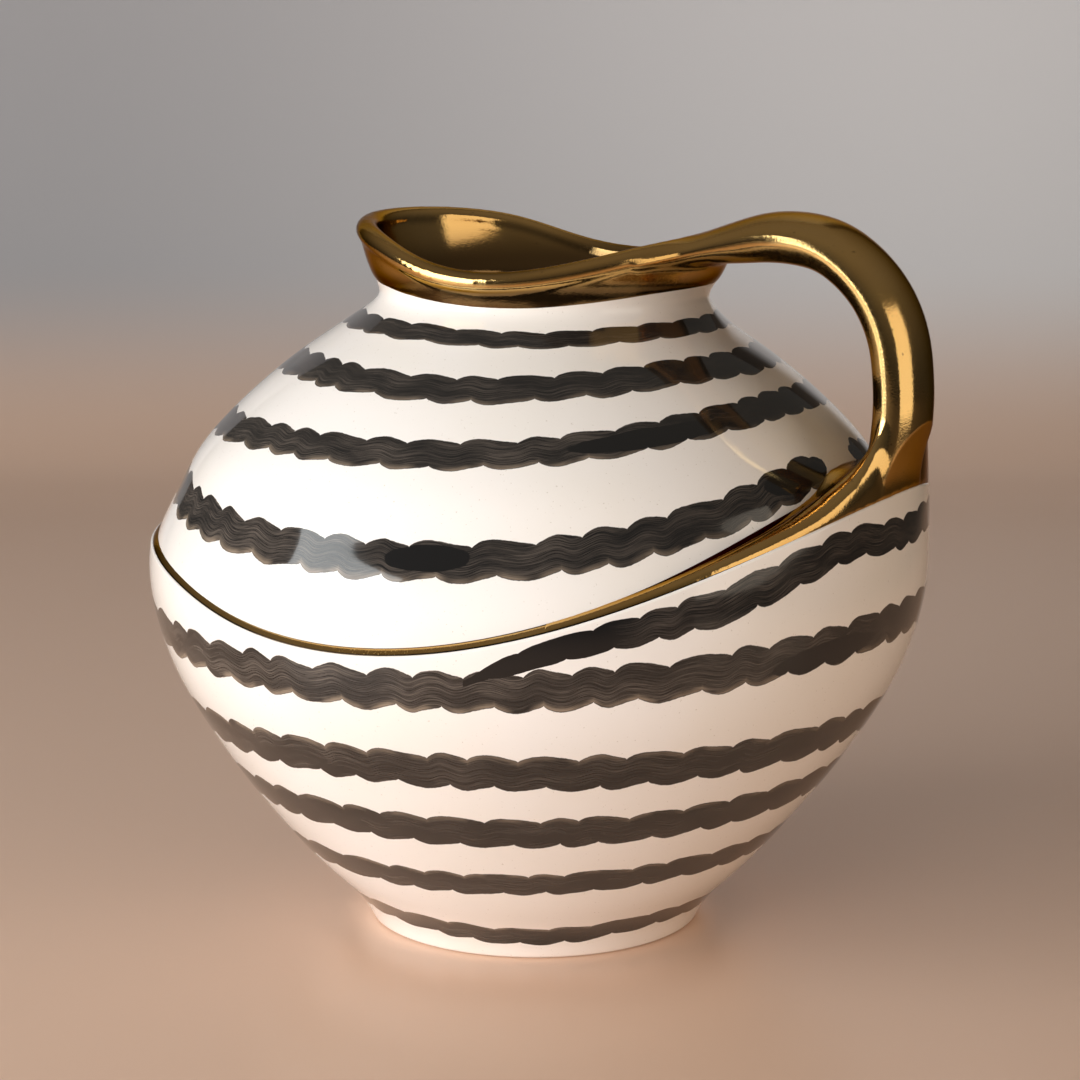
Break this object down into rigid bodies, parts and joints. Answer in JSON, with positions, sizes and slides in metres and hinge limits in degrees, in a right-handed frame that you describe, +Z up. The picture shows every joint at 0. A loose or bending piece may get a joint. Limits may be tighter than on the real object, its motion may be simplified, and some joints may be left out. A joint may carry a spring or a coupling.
{
  "type": "hydria jar",
  "caption": "Round-bellied clay jar with a saddle-shaped ledge between bowl and dome, a short flared neck with a dipping rim, and one arched handle rooted in two wings.",
  "frame": {"origin": "the middle of the foot's flat underside, which is the jar's standing face", "axes": "+Z is up, +X points from the jar's middle to the handle, -X to the pouring end of the mouth, and the jar is a mirror image across the plane of X and Z"},
  "size_m": [0.2968, 0.2874, 0.2686],
  "materials": {
    "cream_glaze": "glossy off-white glaze with hand-brushed black bands",
    "gold_lustre": "polished gold lustre over the glaze"
  },
  "bodies": {
    "root": {"foot": "cream_glaze", "lower_bowl": "cream_glaze", "shoulder_dome": "cream_glaze", "neck": "cream_glaze", "ridge_bead": "gold_lustre", "rim_roll": "gold_lustre", "handle": "gold_lustre", "root_wing_front": "gold_lustre", "root_wing_back": "gold_lustre"}
  },
  "joints": []
}
